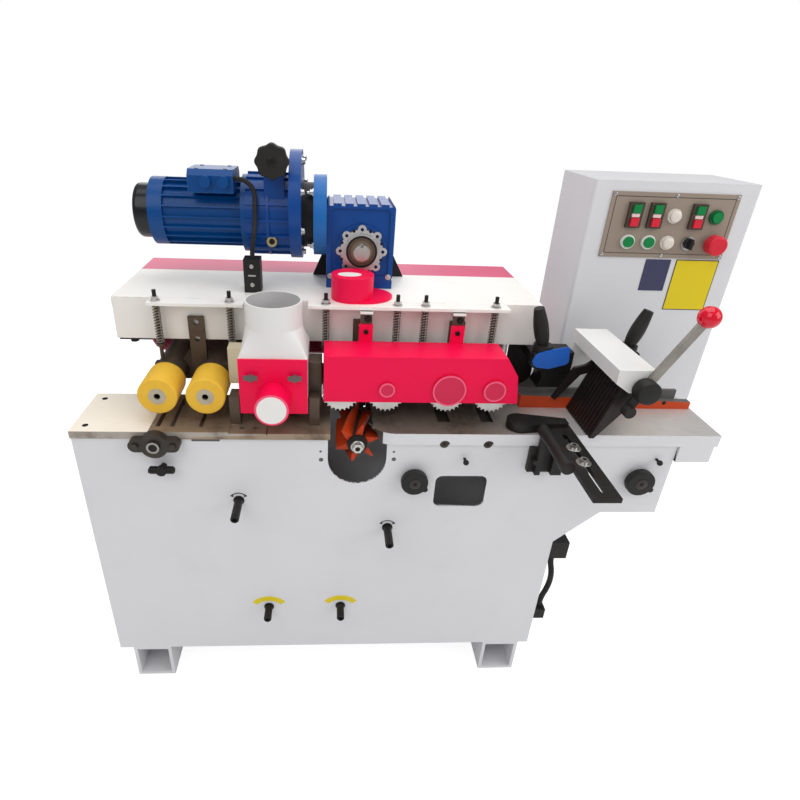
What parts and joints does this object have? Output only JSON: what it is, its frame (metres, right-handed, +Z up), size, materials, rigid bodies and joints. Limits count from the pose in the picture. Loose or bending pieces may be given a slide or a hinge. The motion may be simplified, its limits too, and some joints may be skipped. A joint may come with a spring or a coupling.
{
  "type": "broom stick making machine",
  "caption": "Floor machine that planes square timber into round sticks: sprung rollers and toothed wheels feed it between two shaped cutters.",
  "frame": {"origin": "middle of the bounding box, on the floor under the feet", "axes": "+X to the right along the table, against the feed; +Y to the back; +Z up"},
  "size_m": [1.4126, 0.688, 1.2275],
  "materials": {
    "white_paint": "powder coat",
    "beam_paint": "powder coat",
    "pink_paint": "gloss paint",
    "dusty_pink_paint": "gloss paint",
    "motor_blue": "gloss paint",
    "gearbox_blue": "gloss paint",
    "bed_steel": "ground",
    "bright_steel": "turned",
    "dark_steel": "oiled",
    "cutter_red": "paint with bare knives",
    "fence_orange": "paint",
    "roller_yellow": "cast polyurethane",
    "black_plastic": "moulded",
    "black_rubber": "sheath",
    "panel_taupe": "satin",
    "button_green": "moulded",
    "button_red": "moulded",
    "spring_steel": "oiled"
  },
  "bodies": {
    "base": {"base_cabinet": "white_paint", "outfeed_plate": "white_paint", "outfeed_bed": "bed_steel", "infeed_table": "white_paint", "fence": "fence_orange", "control_cabinet": "white_paint", "control_panel": "panel_taupe", "rear_supports": "bright_steel", "dust_hood": "white_paint", "hood_front": "pink_paint", "kickback_cover": "white_paint", "panel_brackets": "dark_steel", "conduit": "black_rubber"},
    "beam": {"press_beam": "beam_paint", "rear_cover": "dusty_pink_paint", "shaft_guard": "pink_paint", "wheel_cover": "pink_paint", "beam_brackets": "dark_steel", "pressure_springs_1": "spring_steel", "pressure_springs_2": "spring_steel", "pressure_springs_3": "spring_steel", "worm_gearbox": "gearbox_blue", "variator_housing": "gearbox_blue", "motor_body": "motor_blue", "motor_cable": "black_rubber"},
    "pressure_yoke_1": {"pressure_yoke_1": "dark_steel"},
    "pressure_yoke_2": {"pressure_yoke_2": "dark_steel"},
    "pressure_yoke_3": {"pressure_yoke_3": "dark_steel"},
    "feed_roller_1": {"feed_roller_1": "roller_yellow"},
    "feed_roller_2": {"feed_roller_2": "roller_yellow"},
    "feed_wheel_1": {"feed_wheel_1": "bright_steel"},
    "feed_wheel_2": {"feed_wheel_2": "bright_steel"},
    "feed_wheel_3": {"feed_wheel_3": "bright_steel"},
    "feed_wheel_4": {"feed_wheel_4": "bright_steel"},
    "upper_cutter": {"upper_cutter": "cutter_red"},
    "lower_cutter": {"lower_cutter": "cutter_red"},
    "output_shaft": {"output_shaft": "bright_steel"},
    "variator_knob": {"variator_knob": "black_plastic"},
    "lift_handle": {"lift_handle": "black_plastic"},
    "fence_clamp": {"fence_clamp": "black_plastic"},
    "kickback_fingers": {"kickback_fingers": "dark_steel"},
    "pressure_shoe": {"pressure_shoe": "dark_steel"},
    "t_handle": {"t_handle": "dark_steel"},
    "crank_spindle_1": {"crank_spindle_1": "bright_steel"},
    "crank_spindle_2": {"crank_spindle_2": "bright_steel"},
    "crank_spindle_3": {"crank_spindle_3": "bright_steel"},
    "crank_spindle_4": {"crank_spindle_4": "bright_steel"},
    "hand_knob_1": {"hand_knob_1": "black_plastic"},
    "hand_knob_2": {"hand_knob_2": "black_plastic"},
    "start_button_1": {"start_button_1": "button_green"},
    "start_button_2": {"start_button_2": "button_green"},
    "start_button_3": {"start_button_3": "button_green"},
    "stop_button_1": {"stop_button_1": "button_red"},
    "stop_button_2": {"stop_button_2": "button_red"},
    "stop_button_3": {"stop_button_3": "button_red"},
    "flush_button_1": {"flush_button_1": "button_green"},
    "flush_button_2": {"flush_button_2": "button_green"},
    "reset_button": {"reset_button": "button_green"},
    "estop_button": {"estop_button": "button_red"},
    "selector_knob": {"selector_knob": "black_plastic"}
  },
  "joints": [
    {"name": "beam_lift", "type": "slide", "parent": "base", "child": "beam", "axis": [0, 0, 1], "range_m": [0, 0.04]},
    {"name": "yoke_1_slide", "type": "slide", "parent": "beam", "child": "pressure_yoke_1", "axis": [0, 0, 1], "range_m": [0, 0.018], "stiffness_N_per_m": 8000, "springref_m": -0.01, "deforming": ["pressure_springs_1"]},
    {"name": "yoke_2_slide", "type": "slide", "parent": "beam", "child": "pressure_yoke_2", "axis": [0, 0, 1], "range_m": [0, 0.018], "stiffness_N_per_m": 8000, "springref_m": -0.01, "deforming": ["pressure_springs_2"]},
    {"name": "yoke_3_slide", "type": "slide", "parent": "beam", "child": "pressure_yoke_3", "axis": [0, 0, 1], "range_m": [0, 0.018], "stiffness_N_per_m": 8000, "springref_m": -0.01, "deforming": ["pressure_springs_3"]},
    {"name": "output_shaft_spin", "type": "hinge", "parent": "beam", "child": "output_shaft", "pos_m": [-0.13925, 0.181, 1.023], "axis": [0, 1, 0], "continuous": true},
    {"name": "feed_roller_1_spin", "type": "hinge", "parent": "pressure_yoke_1", "child": "feed_roller_1", "pos_m": [-0.53745, 0.081, 0.783], "axis": [0, 1, 0], "continuous": true},
    {"name": "feed_roller_2_spin", "type": "hinge", "parent": "pressure_yoke_1", "child": "feed_roller_2", "pos_m": [-0.44545, 0.081, 0.783], "axis": [0, 1, 0], "continuous": true},
    {"name": "feed_wheel_1_spin", "type": "hinge", "parent": "pressure_yoke_2", "child": "feed_wheel_1", "pos_m": [-0.18165, 0.081, 0.7815], "axis": [0, 1, 0], "continuous": true},
    {"name": "feed_wheel_2_spin", "type": "hinge", "parent": "pressure_yoke_2", "child": "feed_wheel_2", "pos_m": [-0.08965, 0.081, 0.7815], "axis": [0, 1, 0], "continuous": true},
    {"name": "feed_wheel_3_spin", "type": "hinge", "parent": "pressure_yoke_3", "child": "feed_wheel_3", "pos_m": [0.03505, 0.081, 0.7815], "axis": [0, 1, 0], "continuous": true},
    {"name": "feed_wheel_4_spin", "type": "hinge", "parent": "pressure_yoke_3", "child": "feed_wheel_4", "pos_m": [0.12705, 0.081, 0.7815], "axis": [0, 1, 0], "continuous": true},
    {"name": "upper_cutter_spin", "type": "hinge", "parent": "base", "child": "upper_cutter", "pos_m": [-0.31225, -0.019, 0.785], "axis": [0, 1, 0], "continuous": true},
    {"name": "lower_cutter_spin", "type": "hinge", "parent": "base", "child": "lower_cutter", "pos_m": [-0.14575, -0.019, 0.686], "axis": [0, 1, 0], "continuous": true},
    {"name": "variator_knob_turn", "type": "hinge", "parent": "beam", "child": "variator_knob", "pos_m": [-0.31825, 0.101, 1.1945], "axis": [0, 1, 0], "range_deg": [-360, 360]},
    {"name": "lift_handle_turn", "type": "hinge", "parent": "base", "child": "lift_handle", "pos_m": [0.24375, 0.001, 0.86], "axis": [0, 0, 1], "range_deg": [-10, 60]},
    {"name": "fence_clamp_turn", "type": "hinge", "parent": "base", "child": "fence_clamp", "pos_m": [0.44675, 0.036, 0.85], "axis": [0, 0, 1], "range_deg": [-60, 60]},
    {"name": "kickback_lift", "type": "hinge", "parent": "base", "child": "kickback_fingers", "pos_m": [0.38675, -0.059, 0.845], "axis": [0, 1, 0], "range_deg": [0, 22]},
    {"name": "shoe_slide", "type": "slide", "parent": "base", "child": "pressure_shoe", "axis": [0, 1, 0], "range_m": [-0.003, 0.03]},
    {"name": "t_handle_turn", "type": "hinge", "parent": "base", "child": "t_handle", "pos_m": [-0.53525, -0.129, 0.64], "axis": [0, 1, 0], "range_deg": [-180, 180]},
    {"name": "crank_spindle_1_turn", "type": "hinge", "parent": "base", "child": "crank_spindle_1", "pos_m": [-0.39125, -0.119, 0.552], "axis": [0, 1, 0], "range_deg": [-360, 360]},
    {"name": "crank_spindle_2_turn", "type": "hinge", "parent": "base", "child": "crank_spindle_2", "pos_m": [-0.07325, -0.119, 0.478], "axis": [0, 1, 0], "range_deg": [-360, 360]},
    {"name": "crank_spindle_3_turn", "type": "hinge", "parent": "base", "child": "crank_spindle_3", "pos_m": [-0.34025, -0.119, 0.237], "axis": [0, 1, 0], "range_deg": [-360, 360]},
    {"name": "crank_spindle_4_turn", "type": "hinge", "parent": "base", "child": "crank_spindle_4", "pos_m": [-0.17125, -0.119, 0.238], "axis": [0, 1, 0], "range_deg": [-360, 360]},
    {"name": "hand_knob_1_turn", "type": "hinge", "parent": "base", "child": "hand_knob_1", "pos_m": [-0.02575, -0.139, 0.611], "axis": [0, 1, 0], "range_deg": [-180, 180]},
    {"name": "hand_knob_2_turn", "type": "hinge", "parent": "base", "child": "hand_knob_2", "pos_m": [0.45575, -0.139, 0.612], "axis": [0, 1, 0], "range_deg": [-180, 180]},
    {"name": "start_button_1_press", "type": "slide", "parent": "base", "child": "start_button_1", "axis": [0, 1, 0], "range_m": [0, 0.003], "stiffness_N_per_m": 700, "springref_m": -0.001},
    {"name": "stop_button_1_press", "type": "slide", "parent": "base", "child": "stop_button_1", "axis": [0, 1, 0], "range_m": [0, 0.003], "stiffness_N_per_m": 700, "springref_m": -0.001},
    {"name": "start_button_2_press", "type": "slide", "parent": "base", "child": "start_button_2", "axis": [0, 1, 0], "range_m": [0, 0.003], "stiffness_N_per_m": 700, "springref_m": -0.001},
    {"name": "stop_button_2_press", "type": "slide", "parent": "base", "child": "stop_button_2", "axis": [0, 1, 0], "range_m": [0, 0.003], "stiffness_N_per_m": 700, "springref_m": -0.001},
    {"name": "start_button_3_press", "type": "slide", "parent": "base", "child": "start_button_3", "axis": [0, 1, 0], "range_m": [0, 0.003], "stiffness_N_per_m": 700, "springref_m": -0.001},
    {"name": "stop_button_3_press", "type": "slide", "parent": "base", "child": "stop_button_3", "axis": [0, 1, 0], "range_m": [0, 0.003], "stiffness_N_per_m": 700, "springref_m": -0.001},
    {"name": "flush_button_1_press", "type": "slide", "parent": "base", "child": "flush_button_1", "axis": [0, 1, 0], "range_m": [0, 0.003], "stiffness_N_per_m": 700, "springref_m": -0.001},
    {"name": "flush_button_2_press", "type": "slide", "parent": "base", "child": "flush_button_2", "axis": [0, 1, 0], "range_m": [0, 0.003], "stiffness_N_per_m": 700, "springref_m": -0.001},
    {"name": "reset_button_press", "type": "slide", "parent": "base", "child": "reset_button", "axis": [0, 1, 0], "range_m": [0, 0.003], "stiffness_N_per_m": 700, "springref_m": -0.001},
    {"name": "estop_button_press", "type": "slide", "parent": "base", "child": "estop_button", "axis": [0, 1, 0], "range_m": [0, 0.003], "stiffness_N_per_m": 700, "springref_m": -0.001},
    {"name": "selector_knob_turn", "type": "hinge", "parent": "base", "child": "selector_knob", "pos_m": [0.57575, 0.136, 1.055], "axis": [0, 1, 0], "range_deg": [-45, 45]}
  ],
  "couplings": [
    {"joint": "feed_roller_1_spin", "follows": "output_shaft_spin", "ratio": 1},
    {"joint": "feed_roller_2_spin", "follows": "output_shaft_spin", "ratio": 1},
    {"joint": "feed_wheel_1_spin", "follows": "output_shaft_spin", "ratio": 1},
    {"joint": "feed_wheel_2_spin", "follows": "output_shaft_spin", "ratio": 1},
    {"joint": "feed_wheel_3_spin", "follows": "output_shaft_spin", "ratio": 1},
    {"joint": "feed_wheel_4_spin", "follows": "output_shaft_spin", "ratio": 1}
  ]
}
